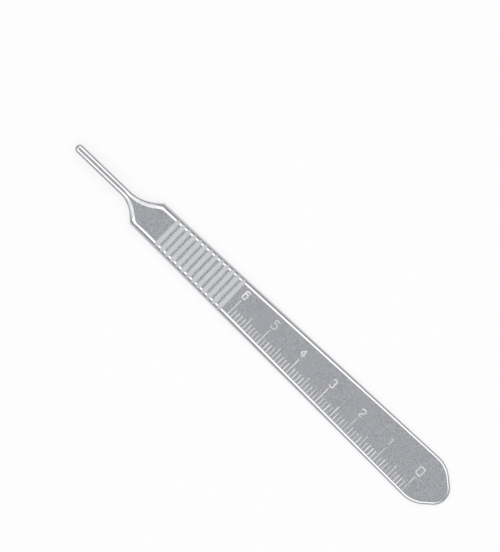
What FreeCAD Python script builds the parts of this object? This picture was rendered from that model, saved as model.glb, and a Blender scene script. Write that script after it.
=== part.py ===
import FreeCAD, Part

import math
import os

import Sketcher
from FreeCAD import Placement, Rotation, Vector

# Scalpel handle, size 3 pattern: one flat, tapering piece of stainless steel.
# X runs along the handle from the blade fitting (-X) to the butt (+X). +Y is
# the plain edge and -Y the edge with the ruler. The handle lies on its
# underside at Z = 0, with the origin under the middle of its length.

doc = FreeCAD.newDocument("scalpel_handle")

# Driving sizes in millimetres, angles in degrees. A "station" is a distance
# along the handle from the tip of the tang.
SIZES = {
    # Outline, seen from above
    "overall_length": 124.0,
    "tang_width": 2.3,
    "plain_flare_station": 17.3,
    "plain_flare_radius": 9.5,
    "plain_flare_angle": 42.0,
    "ruler_flare_station": 15.9,
    "ruler_flare_radius": 7.0,
    "ruler_flare_angle": 47.0,
    "ruler_shoulder_radius": 1.5,
    "neck_station": 25.2,
    "neck_width": 9.6,
    "butt_station": 112.4,
    "butt_width": 12.9,
    "butt_shoulder_radius": 7.9,
    "butt_flank_angle": 40.0,
    "butt_nose_radius": 4.15,
    # Thickness, and the rounded edges
    "neck_thickness": 3.13,
    "butt_thickness": 1.69,
    "side_land": 0.1,
    "tang_edge_radius": 0.9,
    # Finger grooves, on both faces
    "groove_count": 13,
    "groove_station": 30.6,
    "groove_pitch": 1.785,
    "groove_radius": 0.56,
    "groove_depth": 0.4,
    # Ruler marks, etched into the top face
    "ruler_zero_station": 114.6,
    "ruler_length": 60.0,
    "ruler_rim_gap": 0.08,
    "mark_pitch": 1.0,
    "mark_width": 0.28,
    "mark_depth": 0.05,
    "short_mark": 2.25,
    "middle_mark": 3.3,
    "long_mark": 4.8,
    # Blade fitting, on the underside
    "relief_station": 28.8,
    "relief_end_station": 22.6,
    "rail_crest_height": 1.45,
    "rail_lead_station": 1.6,
    "rail_lead_angle": 12.0,
    "rail_width": 2.1,
    "rail_lip": 0.4,
    "rail_groove_depth": 0.35,
    "rail_web_setback": 0.4,
    "blade_gap": 0.45,
    "boss_start_station": 12.2,
    "boss_end_station": 17.5,
    "heel_stop_station": 21.3,
    "heel_stop_angle": 20.0,
    # How far a cutting profile reaches past the metal
    "cut_margin": 1.0,
}

# Sizes that follow from the driving ones
DERIVED = {
    "tip_x": "-overall_length / 2",
    "run": "butt_station - neck_station",
    "edge_angle": "atan((butt_width - neck_width) / 2 / run)",
    "taper_angle": "atan((neck_thickness - butt_thickness) / run)",
    "tip_thickness": "neck_thickness + neck_station * tan(taper_angle)",
    "end_thickness": "tip_thickness - overall_length * tan(taper_angle)",
    "seat_height": "rail_crest_height + rail_lip + blade_gap",
    "lip_height": "rail_crest_height + rail_lip",
    "relief_angle": "atan(rail_crest_height / (relief_station - relief_end_station))",
    "groove_lift": "groove_radius - groove_depth",
    "top_groove_height": "tip_thickness - groove_station * tan(taper_angle)"
    " + groove_lift / cos(taper_angle)",
    "ruler_height": "tip_thickness - ruler_zero_station * tan(taper_angle)",
    "ruler_offset": "neck_width / 2 + (ruler_zero_station - neck_station) * tan(edge_angle)"
    " - (ruler_height - side_land) / 2 - ruler_rim_gap",
    "ruler_angle": "edge_angle + atan(tan(taper_angle) / 2)",
    "grip_end_station": "groove_station + groove_count * groove_pitch",
    "group_length": "5 * mark_pitch",
    "group_count": "floor(ruler_length / group_length)",
    "middle_count": "floor((group_count + 1) / 2)",
    "long_count": "floor(group_count / 2) + 1",
}

sheet = doc.addObject("Spreadsheet::Sheet", "dims")
for row, (alias, value) in enumerate(SIZES.items(), start=1):
    sheet.set(f"A{row}", alias)
    sheet.set(f"B{row}", str(value))
    sheet.setAlias(f"B{row}", alias)
for row, (alias, formula) in enumerate(DERIVED.items(), start=len(SIZES) + 1):
    sheet.set(f"A{row}", alias)
    sheet.set(f"B{row}", f"={formula}")
    sheet.setAlias(f"B{row}", alias)
doc.recompute()


def size(alias):
    """A value of the sheet as a plain number; angles come in degrees."""
    value = getattr(sheet, alias)
    return float(getattr(value, "Value", value))


def tangent(angle):
    return math.tan(math.radians(angle))


def direction(angle):
    """The unit vector in the sketch plane at an angle from the x axis."""
    return Vector(math.cos(math.radians(angle)), math.sin(math.radians(angle)))


def place_sketch(body, name, role):
    """An empty sketch on one of the body's own origin planes."""
    plane = next(o for o in body.Origin.OriginFeatures if o.Role == role)
    sketch = body.newObject("Sketcher::SketchObject", name)
    sketch.AttachmentSupport = [(plane, "")]
    sketch.MapMode = "FlatFace"
    return sketch


def drive(sketch, kind, *where, by):
    """Adds a dimension to a sketch and binds it to the sheet."""
    value = sketch.evalExpression(by)
    if kind == "Angle":
        value = math.radians(value.Value)
    index = sketch.addConstraint(Sketcher.Constraint(kind, *where, float(value)))
    sketch.setExpression(f"Constraints[{index}]", by)


def polygon(sketch, points):
    """Adds a closed ring of lines, joined end to end, and returns their numbers."""
    ends = points[1:] + points[:1]
    lines = [sketch.addGeometry(Part.LineSegment(a, b)) for a, b in zip(points, ends)]
    for line, after in zip(lines, lines[1:] + lines[:1]):
        sketch.addConstraint(Sketcher.Constraint("Coincident", line, 2, after, 1))
    return lines


def level(sketch, *lines):
    for line in lines:
        sketch.addConstraint(Sketcher.Constraint("Horizontal", line))


def upright(sketch, *lines):
    for line in lines:
        sketch.addConstraint(Sketcher.Constraint("Vertical", line))


def cut(body, name, profile, depth=None, reverse=False, midplane=False):
    """A pocket, to a depth that the sheet gives or right through."""
    before = body.Tip.Shape.Volume if body.Tip else 0
    pocket = body.newObject("PartDesign::Pocket", name)
    pocket.Profile = profile
    pocket.Reversed = reverse
    pocket.Midplane = midplane
    pocket.Refine = False
    if depth:
        pocket.setExpression("Length", depth)
    else:
        pocket.Type = "ThroughAll"
    doc.recompute()
    print(f"{name}: removes {before - pocket.Shape.Volume:.2f} mm3")
    return pocket


def repeat(body, name, feature, sketch, axis, pitch, count):
    """Copies of a feature along an axis of its sketch."""
    pattern = body.newObject("PartDesign::LinearPattern", name)
    pattern.Originals = [feature]
    pattern.Direction = (sketch, [axis])
    pattern.Refine = False
    pattern.setExpression("Length", f"{pitch} * ({count} - 1)")
    pattern.setExpression("Occurrences", count)
    body.Tip = pattern
    doc.recompute()
    print(f"{name}: {pattern.Occurrences} in all, {pattern.Shape.Volume:.2f} mm3 left")
    return pattern


# The outline is a ring of straight lines with rounded corners. Its corners
# are worked out first, so that the sketch starts where it will end up.
def meet(p, p_angle, q, q_angle):
    """Where the line through p meets the line through q."""
    along = direction(p_angle)
    reach = (q - p).cross(direction(q_angle)).z / along.cross(direction(q_angle)).z
    return p + along * reach


def corner_arc(before, corner, after, radius):
    """The arc of that radius that rounds a corner."""
    back = (before - corner).normalize()
    ahead = (after - corner).normalize()
    half = back.getAngle(ahead) / 2
    inward = (back + ahead).normalize()
    centre = corner + inward * (radius / math.sin(half))
    reach = radius / math.tan(half)
    return Part.Arc(corner + back * reach, centre - inward * radius, corner + ahead * reach)


def long_edge(side, flare):
    """Corners of one long edge: flare, shoulder, hip, and nose on the middle line."""
    tip = size("tip_x")
    reach = size(f"{flare}_flare_radius") * tangent(size(f"{flare}_flare_angle") / 2)
    foot_x = tip + size(f"{flare}_flare_station") + reach
    foot = Vector(foot_x, side * size("tang_width") / 2)
    neck = Vector(tip + size("neck_station"), side * size("neck_width") / 2)
    slope = side * size("edge_angle")
    shoulder = meet(foot, side * size(f"{flare}_flare_angle"), neck, slope)
    flank = size("butt_flank_angle")
    nose_radius = size("butt_nose_radius")
    apex = nose_radius / math.sin(math.radians(flank)) - nose_radius - tip
    nose = Vector(apex, 0)
    hip = meet(neck, slope, nose, -side * flank)
    return foot, shoulder, hip, nose


def end_at(sketch, curve, point):
    """Which end of a sketched curve lies at a point: 1 its start, 2 its end."""
    return min((1, 2), key=lambda end: sketch.getPoint(curve, end).distanceToPoint(point))


def join(sketch, kind, first, second, point):
    """Joins two sketched curves where they meet, Coincident or Tangent."""
    ends = (first, end_at(sketch, first, point), second, end_at(sketch, second, point))
    sketch.addConstraint(Sketcher.Constraint(kind, *ends))


def draw_edge(sketch, side, flare, shoulder_radius):
    """Draws one long edge from the tang to the nose; returns its end curves."""
    foot, shoulder, hip, nose = long_edge(side, flare)
    tip = size("tip_x")
    tang = Vector(tip + size("tang_width") / 2, foot.y)
    neck = Vector(tip + size("neck_station"), side * size("neck_width") / 2)
    slope = side * tangent(size("edge_angle"))
    grip = [
        Vector(tip + size(station), neck.y + (size(station) - size("neck_station")) * slope)
        for station in ("groove_station", "grip_end_station")
    ]
    flare_arc = corner_arc(tang, foot, shoulder, size(f"{flare}_flare_radius"))
    hip_arc = corner_arc(shoulder, hip, nose, size("butt_shoulder_radius"))
    nose_arc = corner_arc(hip, nose, Vector(hip.x, -hip.y), size("butt_nose_radius"))

    shapes = [Part.LineSegment(tang, flare_arc.StartPoint), flare_arc]
    joints = [("Tangent", flare_arc.StartPoint), ("Tangent", flare_arc.EndPoint)]
    if shoulder_radius:
        bend = corner_arc(foot, shoulder, hip, shoulder_radius)
        shapes += [Part.LineSegment(flare_arc.EndPoint, bend.StartPoint), bend]
        joints += [("Tangent", bend.StartPoint), ("Tangent", bend.EndPoint)]
        shoulder = bend.EndPoint
    else:
        shapes += [Part.LineSegment(flare_arc.EndPoint, shoulder)]
        joints += [("Coincident", shoulder)]
    shapes += [
        Part.LineSegment(shoulder, grip[0]),
        Part.LineSegment(*grip),
        Part.LineSegment(grip[1], hip_arc.StartPoint),
        hip_arc,
        Part.LineSegment(hip_arc.EndPoint, nose_arc.StartPoint),
    ]
    joints += [("Tangent", p) for p in (*grip, hip_arc.StartPoint, hip_arc.EndPoint)]

    curves = [sketch.addGeometry(shape) for shape in shapes]
    for (kind, point), before, after in zip(joints, curves, curves[1:]):
        join(sketch, kind, before, after, point)
    tang_line, flare_curve, flare_line = curves[:3]
    near_line, grip_line, _, hip_curve, flank_line = curves[-5:]

    level(sketch, tang_line)
    foot_end = end_at(sketch, flare_curve, flare_arc.StartPoint)
    drive(sketch, "DistanceX", -1, 1, flare_curve, foot_end, by=f"dims.tip_x + dims.{flare}_flare_station")
    drive(sketch, "Radius", flare_curve, by=f"dims.{flare}_flare_radius")
    drive(sketch, "Angle", flare_line, by=f"{side} * dims.{flare}_flare_angle * 1deg")
    if shoulder_radius:
        drive(sketch, "Radius", curves[3], by=f"dims.{flare}_shoulder_radius")
    neck_point = sketch.addGeometry(Part.Point(neck))
    sketch.toggleConstruction(neck_point)
    drive(sketch, "DistanceX", -1, 1, neck_point, 1, by="dims.tip_x + dims.neck_station")
    drive(sketch, "DistanceY", -1, 1, neck_point, 1, by=f"{side} * dims.neck_width / 2")
    sketch.addConstraint(Sketcher.Constraint("PointOnObject", neck_point, 1, near_line))
    drive(sketch, "Angle", near_line, by=f"{side} * dims.edge_angle")
    drive(sketch, "DistanceX", -1, 1, near_line, 2, by="dims.tip_x + dims.groove_station")
    drive(sketch, "DistanceX", -1, 1, grip_line, 2, by="dims.tip_x + dims.grip_end_station")
    drive(sketch, "Radius", hip_curve, by="dims.butt_shoulder_radius")
    drive(sketch, "Angle", flank_line, by=f"{-side} * dims.butt_flank_angle * 1deg")
    return tang_line, flank_line, nose_arc


blank = doc.addObject("PartDesign::Body", "Blank")
outline = place_sketch(blank, "Outline", "XY_Plane")
plain_tang, plain_flank, nose_arc = draw_edge(outline, 1, "plain", 0)
ruler_tang, ruler_flank, _ = draw_edge(outline, -1, "ruler", size("ruler_shoulder_radius"))
half_tang = size("tang_width") / 2
tip_centre = Vector(size("tip_x") + half_tang, 0)
tip_arc = Part.Arc(
    tip_centre + Vector(0, half_tang),
    tip_centre - Vector(half_tang, 0),
    tip_centre - Vector(0, half_tang),
)
for arc, upper, lower, radius, centre_x in (
    (tip_arc, plain_tang, ruler_tang, "dims.tang_width / 2", "dims.tip_x + dims.tang_width / 2"),
    (nose_arc, plain_flank, ruler_flank, "dims.butt_nose_radius", "-dims.tip_x - dims.butt_nose_radius"),
):
    ends = sorted((arc.StartPoint, arc.EndPoint), key=lambda point: -point.y)
    curve = outline.addGeometry(arc)
    join(outline, "Tangent", upper, curve, ends[0])
    join(outline, "Tangent", curve, lower, ends[1])
    outline.addConstraint(Sketcher.Constraint("PointOnObject", curve, 3, -1))
    drive(outline, "DistanceX", -1, 1, curve, 3, by=centre_x)
    drive(outline, "Radius", curve, by=radius)

# The blank is the outline at full thickness, cut to the sloping top face.
plate = blank.newObject("PartDesign::Pad", "Plate")
plate.Profile = outline
plate.Refine = False
plate.setExpression("Length", "dims.tip_thickness + dims.cut_margin")
doc.recompute()

margin = size("cut_margin")
tip_x = size("tip_x")
taper = tangent(size("taper_angle"))
slope = place_sketch(blank, "Slope", "XZ_Plane")
corners = [
    Vector(tip_x - margin, size("tip_thickness") + margin * taper),
    Vector(margin - tip_x, size("end_thickness") - margin * taper),
    Vector(margin - tip_x, size("tip_thickness") + 2 * margin),
    Vector(tip_x - margin, size("tip_thickness") + 2 * margin),
]
top_line, butt_line, over_line, tip_line = polygon(slope, corners)
level(slope, over_line)
upright(slope, butt_line, tip_line)
drive(slope, "DistanceX", -1, 1, top_line, 1, by="dims.tip_x - dims.cut_margin")
drive(slope, "DistanceX", -1, 1, top_line, 2, by="dims.cut_margin - dims.tip_x")
drive(slope, "DistanceY", -1, 1, over_line, 1, by="dims.tip_thickness + 2 * dims.cut_margin")
drive(slope, "DistanceY", -1, 1, top_line, 2, by="dims.end_thickness - dims.cut_margin * tan(dims.taper_angle)")
drive(slope, "Angle", top_line, by="-dims.taper_angle")
cut(blank, "TopSlope", slope, "2 * dims.butt_width", midplane=True)


# The edges are rounded so far that only a narrow land is left at mid height.
def top_height(x):
    return size("tip_thickness") - (x - tip_x) * taper


def rounding(x):
    """Radius of the rounded edge at a place along the handle."""
    full = (top_height(x) - size("side_land")) / 2
    tang = size("tang_edge_radius")
    start = tip_x + size("ruler_flare_station")
    end = tip_x + size("neck_station")
    share = min(1, max(0, (x - start) / (end - start)))
    return tang + (full - tang) * share


def rim(edge):
    """Whether an edge bounds the top face or the underside."""
    points = [vertex.Point for vertex in edge.Vertexes]
    on_top = all(abs(p.z - top_height(p.x)) < 1e-4 for p in points)
    return on_top or all(abs(p.z) < 1e-4 for p in points)


def end_radii(edge):
    """Radii at the two ends of an edge, in the order that the fillet runs."""
    ends = edge.valueAt(edge.FirstParameter), edge.valueAt(edge.LastParameter)
    radii = rounding(ends[0].x), rounding(ends[1].x)
    return radii if edge.Orientation == "Reversed" else radii[::-1]


rounded = doc.addObject("Part::Fillet", "RoundedEdges")
rounded.Base = blank
rounded.Edges = [
    (number, *end_radii(edge))
    for number, edge in enumerate(blank.Shape.Edges, start=1)
    if rim(edge)
]
doc.recompute()
print(f"RoundedEdges: {len(rounded.Edges)} edges, {rounded.Shape.Volume:.2f} mm3 left")

# The milled and etched detail is cut into the rounded blank.
handle = doc.addObject("PartDesign::Body", "Handle")
handle.BaseFeature = rounded
doc.recompute()

# Underside: a ramp down to the crest of the rail that the blade slides on,
# with a bevel at the tip that leads the blade on.
crest = size("rail_crest_height")
relief = place_sketch(handle, "Relief", "XZ_Plane")
ramp_start = Vector(tip_x + size("relief_station"), 0)
ramp_end = Vector(tip_x + size("relief_end_station"), crest)
lead_start = Vector(tip_x + size("rail_lead_station"), crest)
lead_reach = size("rail_lead_station") + margin
lead_end = Vector(tip_x - margin, crest + lead_reach * tangent(size("rail_lead_angle")))
corners = [
    ramp_end,
    lead_start,
    lead_end,
    Vector(tip_x - margin, -margin),
    Vector(ramp_start.x + margin / tangent(size("relief_angle")), -margin),
]
crest_line, lead_line, front_line, under_line, ramp_line = polygon(relief, corners)
level(relief, crest_line, under_line)
upright(relief, front_line)
drive(relief, "DistanceX", -1, 1, crest_line, 1, by="dims.tip_x + dims.relief_end_station")
drive(relief, "DistanceY", -1, 1, crest_line, 1, by="dims.rail_crest_height")
drive(relief, "DistanceX", -1, 1, lead_line, 1, by="dims.tip_x + dims.rail_lead_station")
drive(relief, "Angle", -1, 1, lead_line, 1, by="180deg - dims.rail_lead_angle * 1deg")
drive(relief, "DistanceX", -1, 1, front_line, 2, by="dims.tip_x - dims.cut_margin")
drive(relief, "DistanceY", -1, 1, front_line, 2, by="-dims.cut_margin")
drive(relief, "Angle", -1, 1, ramp_line, 1, by="180deg - dims.relief_angle")
cut(handle, "BladeRelief", relief, "2 * dims.butt_width", midplane=True)


def at_height(sketch, formula):
    """Lifts a sketch above its plane by a height that the sheet gives."""
    sketch.setExpression(".AttachmentOffset.Base.z", formula)


def half_round(sketch, centre, radius, start_angle, by_x, by_radius):
    """Half a circle on the middle line; returns it and its ends."""
    arc = Part.ArcOfCircle(
        Part.Circle(centre, Vector(0, 0, 1), radius),
        math.radians(start_angle),
        math.radians(start_angle + 180),
    )
    curve = sketch.addGeometry(arc)
    sketch.addConstraint(Sketcher.Constraint("PointOnObject", curve, 3, -1))
    drive(sketch, "DistanceX", -1, 1, curve, 3, by=by_x)
    drive(sketch, "Radius", curve, by=by_radius)
    return curve, arc


# The blade's seat: everything under it goes, forward of the slanted stop for
# the blade's heel, except the rail and its locking boss.
seat = place_sketch(handle, "Seat", "XY_Plane")
at_height(seat, "dims.seat_height")
side_y = size("neck_width") / 2 + margin
stop_x = tip_x + size("heel_stop_station")
lean = side_y * tangent(size("heel_stop_angle"))
corners = [
    Vector(tip_x - margin, side_y),
    Vector(tip_x - margin, -side_y),
    Vector(stop_x - lean, -side_y),
    Vector(stop_x + lean, side_y),
]
front_line, ruler_line, stop_line, plain_line = polygon(seat, corners)
upright(seat, front_line)
level(seat, ruler_line, plain_line)
drive(seat, "DistanceX", -1, 1, front_line, 1, by="dims.tip_x - dims.cut_margin")
drive(seat, "DistanceY", -1, 1, front_line, 1, by="dims.neck_width / 2 + dims.cut_margin")
drive(seat, "DistanceY", front_line, 2, front_line, 1, by="dims.neck_width + 2 * dims.cut_margin")
drive(seat, "Angle", -1, 1, stop_line, 1, by="90deg - dims.heel_stop_angle * 1deg")
stop = seat.addGeometry(Part.Point(Vector(stop_x, 0)))
seat.toggleConstruction(stop)
seat.addConstraint(Sketcher.Constraint("PointOnObject", stop, 1, -1))
seat.addConstraint(Sketcher.Constraint("PointOnObject", stop, 1, stop_line))
drive(seat, "DistanceX", -1, 1, stop, 1, by="dims.tip_x + dims.heel_stop_station")

half_rail = size("rail_width") / 2
boss_x = tip_x + size("boss_end_station") - half_rail
nose_curve, nose_arc = half_round(
    seat, tip_centre, half_rail, 90, "dims.tip_x + dims.tang_width / 2", "dims.rail_width / 2"
)
boss_curve, boss_arc = half_round(
    seat,
    Vector(boss_x, 0),
    half_rail,
    270,
    "dims.tip_x + dims.boss_end_station - dims.rail_width / 2",
    "dims.rail_width / 2",
)
for start, end in ((nose_arc.StartPoint, boss_arc.EndPoint), (nose_arc.EndPoint, boss_arc.StartPoint)):
    side = seat.addGeometry(Part.LineSegment(start, end))
    join(seat, "Tangent", nose_curve, side, start)
    join(seat, "Tangent", side, boss_curve, end)
cut(handle, "BladeSeat", seat)

# The grooves that hold the blade run along both sides of the rail and round
# its tip, as far back as the locking boss. A thin web is left between them.
undercut = place_sketch(handle, "Undercut", "XY_Plane")
at_height(undercut, "dims.lip_height")
half_web = half_rail - size("rail_groove_depth")
side_y = size("tang_width") / 2 + margin
web_x = tip_x + half_rail + size("rail_web_setback")
boss_x = tip_x + size("boss_start_station")
web_curve, web_arc = half_round(
    undercut,
    Vector(web_x, 0),
    half_web,
    90,
    "dims.tip_x + dims.rail_width / 2 + dims.rail_web_setback",
    "dims.rail_width / 2 - dims.rail_groove_depth",
)
corners = [
    web_arc.EndPoint,
    Vector(boss_x, -half_web),
    Vector(boss_x, -side_y),
    Vector(tip_x - margin, -side_y),
    Vector(tip_x - margin, side_y),
    Vector(boss_x, side_y),
    Vector(boss_x, half_web),
    web_arc.StartPoint,
]
lines = [undercut.addGeometry(Part.LineSegment(a, b)) for a, b in zip(corners, corners[1:])]
for corner, before, after in zip(corners[1:], lines, lines[1:]):
    join(undercut, "Coincident", before, after, corner)
join(undercut, "Tangent", web_curve, lines[0], corners[0])
join(undercut, "Tangent", lines[-1], web_curve, corners[-1])
ruler_web, ruler_end, ruler_line, front_line, plain_line, plain_end, plain_web = lines
level(undercut, ruler_web, ruler_line, plain_line, plain_web)
upright(undercut, ruler_end, front_line, plain_end)
drive(undercut, "DistanceX", -1, 1, ruler_end, 1, by="dims.tip_x + dims.boss_start_station")
drive(undercut, "DistanceX", -1, 1, plain_end, 1, by="dims.tip_x + dims.boss_start_station")
drive(undercut, "DistanceX", -1, 1, front_line, 1, by="dims.tip_x - dims.cut_margin")
drive(undercut, "DistanceY", -1, 1, front_line, 2, by="dims.tang_width / 2 + dims.cut_margin")
drive(undercut, "DistanceY", -1, 1, front_line, 1, by="-dims.tang_width / 2 - dims.cut_margin")
cut(handle, "BladeGrooves", undercut, "dims.blade_gap", reverse=True)


# Finger grooves: one round-bottomed groove across each face, repeated along
# the slope of the top and along the level underside.
def finger_grooves(name, height, angle):
    profile = place_sketch(handle, f"{name}Profile", "XZ_Plane")
    centre = Vector(tip_x + size("groove_station"), sheet.evalExpression(height))
    circle = profile.addGeometry(Part.Circle(centre, Vector(0, 0, 1), size("groove_radius")))
    path = Part.LineSegment(centre, centre + Vector(size("groove_pitch"), 0))
    line = profile.addGeometry(path)
    profile.toggleConstruction(line)
    profile.addConstraint(Sketcher.Constraint("Coincident", circle, 3, line, 1))
    drive(profile, "Radius", circle, by="dims.groove_radius")
    drive(profile, "DistanceX", -1, 1, circle, 3, by="dims.tip_x + dims.groove_station")
    drive(profile, "DistanceY", -1, 1, circle, 3, by=height)
    drive(profile, "Distance", line, by="dims.groove_pitch")
    drive(profile, "Angle", line, by=angle)
    first = cut(handle, name, profile, "2 * dims.butt_width", midplane=True)
    repeat(handle, f"{name}Row", first, profile, "Axis0", "dims.groove_pitch", "dims.groove_count")


finger_grooves("TopGroove", "dims.top_groove_height", "-dims.taper_angle")
finger_grooves("UnderGroove", "-dims.groove_lift", "0deg")


# Ruler marks, etched square to a line that runs just inside the rim of the
# flat. Four short marks fill the gap between two longer ones.
def ruler_marks(name, length, places, pitch, count):
    marks = place_sketch(handle, f"{name}Marks", "XY_Plane")
    marks.AttachmentOffset = Placement(Vector(), Rotation(Vector(0, 1, 0), size("taper_angle")))
    marks.setExpression(".AttachmentOffset.Base.x", "dims.tip_x + dims.ruler_zero_station")
    marks.setExpression(".AttachmentOffset.Base.z", "dims.ruler_height")
    marks.setExpression(".AttachmentOffset.Rotation.Angle", "dims.taper_angle")
    along = direction(180 - size("ruler_angle"))
    across = Vector(along.y, -along.x)
    zero = Vector(0, -size("ruler_offset"))
    base = marks.addGeometry(Part.LineSegment(zero, zero + along * size("group_length")))
    marks.toggleConstruction(base)
    marks.addConstraint(Sketcher.Constraint("PointOnObject", base, 1, -2))
    drive(marks, "DistanceY", -1, 1, base, 1, by="-dims.ruler_offset")
    drive(marks, "Distance", base, by="dims.group_length")
    drive(marks, "Angle", -1, 1, base, 1, by="180deg - dims.ruler_angle")
    width = along * size("mark_width")
    tall = across * size(length)
    for place in places:
        middle = zero + along * (place * size("mark_pitch"))
        centre = (base, 1)
        if place:
            centre = (marks.addGeometry(Part.Point(middle)), 1)
            marks.toggleConstruction(centre[0])
            marks.addConstraint(Sketcher.Constraint("PointOnObject", *centre, base))
            drive(marks, "Distance", base, 1, *centre, by=f"{place} * dims.mark_pitch")
        start = middle - width / 2
        corners = [start, start + tall, start + tall + width, start + width]
        near_side, _, far_side, foot = polygon(marks, corners)
        marks.addConstraint(Sketcher.Constraint("Symmetric", foot, 1, foot, 2, *centre))
        marks.addConstraint(Sketcher.Constraint("Perpendicular", near_side, base))
        marks.addConstraint(Sketcher.Constraint("Parallel", foot, base))
        marks.addConstraint(Sketcher.Constraint("Parallel", near_side, far_side))
        marks.addConstraint(Sketcher.Constraint("Equal", near_side, far_side))
        drive(marks, "Distance", near_side, by=f"dims.{length}")
        drive(marks, "Distance", foot, by="dims.mark_width")
    first = cut(handle, name, marks, "dims.mark_depth")
    repeat(handle, f"{name}Row", first, marks, "Axis0", pitch, count)


ruler_marks("ShortMark", "short_mark", (1, 2, 3, 4), "dims.group_length", "dims.group_count")
ruler_marks("MiddleMark", "middle_mark", (5,), "2 * dims.group_length", "dims.middle_count")
ruler_marks("LongMark", "long_mark", (0,), "2 * dims.group_length", "dims.long_count")

for item in doc.Objects:
    if "Invalid" in item.State or "Error" in item.State:
        raise RuntimeError(f"{item.Label} could not be made: {item.State}")

handle.Label = "handle"
print(f"volume {handle.Shape.Volume / 1000:.3f} cm3, {len(handle.Shape.Faces)} faces")

os.makedirs("parts", exist_ok=True)
for piece in (handle,):
    shape = piece.Shape
    if shape.isNull() or not shape.isValid() or len(shape.Solids) != 1:
        raise RuntimeError(f"{piece.Label} is not one sound solid")
    shape.exportStep(f"parts/{piece.Label}.step")
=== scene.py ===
# %% [markdown]
# # A scalpel handle in stainless steel
#
# A scalpel handle is one flat bar of stainless steel, about as long as a pen. One end is a narrow tang that
# a blade slides onto, the other end is rounded off, and a grip of 13 grooves runs across the front. A ruler
# is etched along one edge of the top face.
#
# The handle has no separate parts, so this lesson makes one piece. It is shaped the way the real one is:
# first the rounded blank, then the cuts into it, then the etching, and last the shading of the whole
# surface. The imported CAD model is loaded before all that. It gives the place and the size of what is made
# here.

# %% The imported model, which gives the place and the size
import math

import bmesh
import bpy
import numpy as np
from mathutils import Matrix, Vector


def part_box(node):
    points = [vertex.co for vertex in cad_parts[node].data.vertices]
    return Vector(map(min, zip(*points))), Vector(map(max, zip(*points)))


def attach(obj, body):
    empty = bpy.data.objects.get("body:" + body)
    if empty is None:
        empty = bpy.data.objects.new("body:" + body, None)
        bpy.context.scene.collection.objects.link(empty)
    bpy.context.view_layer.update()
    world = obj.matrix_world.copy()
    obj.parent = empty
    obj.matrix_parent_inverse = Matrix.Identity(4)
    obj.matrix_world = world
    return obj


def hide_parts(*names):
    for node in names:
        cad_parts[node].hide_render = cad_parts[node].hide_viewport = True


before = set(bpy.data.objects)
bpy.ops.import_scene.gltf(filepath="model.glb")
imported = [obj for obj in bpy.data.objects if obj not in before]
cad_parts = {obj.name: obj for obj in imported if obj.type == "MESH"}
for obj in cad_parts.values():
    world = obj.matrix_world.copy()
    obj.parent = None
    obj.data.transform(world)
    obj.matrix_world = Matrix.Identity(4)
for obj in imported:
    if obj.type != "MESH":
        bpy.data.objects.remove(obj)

MM = 0.001
scene = bpy.context.scene
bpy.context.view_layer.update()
low, high = (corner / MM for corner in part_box("handle"))
TIP, BUTT = low.x, high.x
print(f"handle from x = {TIP:.1f} to {BUTT:.1f} mm, {high.y - low.y:.2f} mm wide, {high.z:.2f} mm thick")

# %% [markdown]
# ## Finishes
#
# The whole handle is one steel, but each surface was worked with a different tool, and the tool's traces
# decide how rough and grainy it is. The colours are not all the steel's own: the flats are painted darker
# than the steel, which is painted shade, and the grooves paler, which is painted light. So every finish is
# a material of its own, and all of them share one recipe: a noise texture on Object coordinates, in metres,
# stands for the traces, and it moves the colour, the roughness and the bump together. Stretching the noise
# turns its spots into lines.
#
# Two small helpers come first. One turns a hex colour, as a colour picker shows it, into the linear values
# that the renderer works in. The other adds a node with its settings and links.


# %% A colour and a node
def paint(hex_colour):
    """A hex sRGB colour as linear red, green, blue and alpha."""
    parts = [int(hex_colour[i : i + 2], 16) / 255 for i in (1, 3, 5)]
    return (*(p / 12.92 if p <= 0.04045 else ((p + 0.055) / 1.055) ** 2.4 for p in parts), 1)


def add_node(tree, kind, settings=None, links=None):
    """Adds a node. Settings name its properties or its inputs, and links name the inputs that they feed."""
    node = tree.nodes.new(kind)
    for name, value in (settings or {}).items():
        if isinstance(name, str) and hasattr(node, name):
            setattr(node, name, value)
        else:
            node.inputs[name].default_value = value
    for name, source in (links or {}).items():
        tree.links.new(source, node.inputs[name])
    return node


print("white is", paint("#FFFFFF")[0], "and mid grey", round(paint("#808080")[0], 3))


# %% The recipe for a finish
TRACE_DEPTH = 0.02
# Most values of a noise texture lie between these two, so this range is stretched from pit to crest.
NOISE_PIT, NOISE_CREST = 0.35, 0.65


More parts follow.
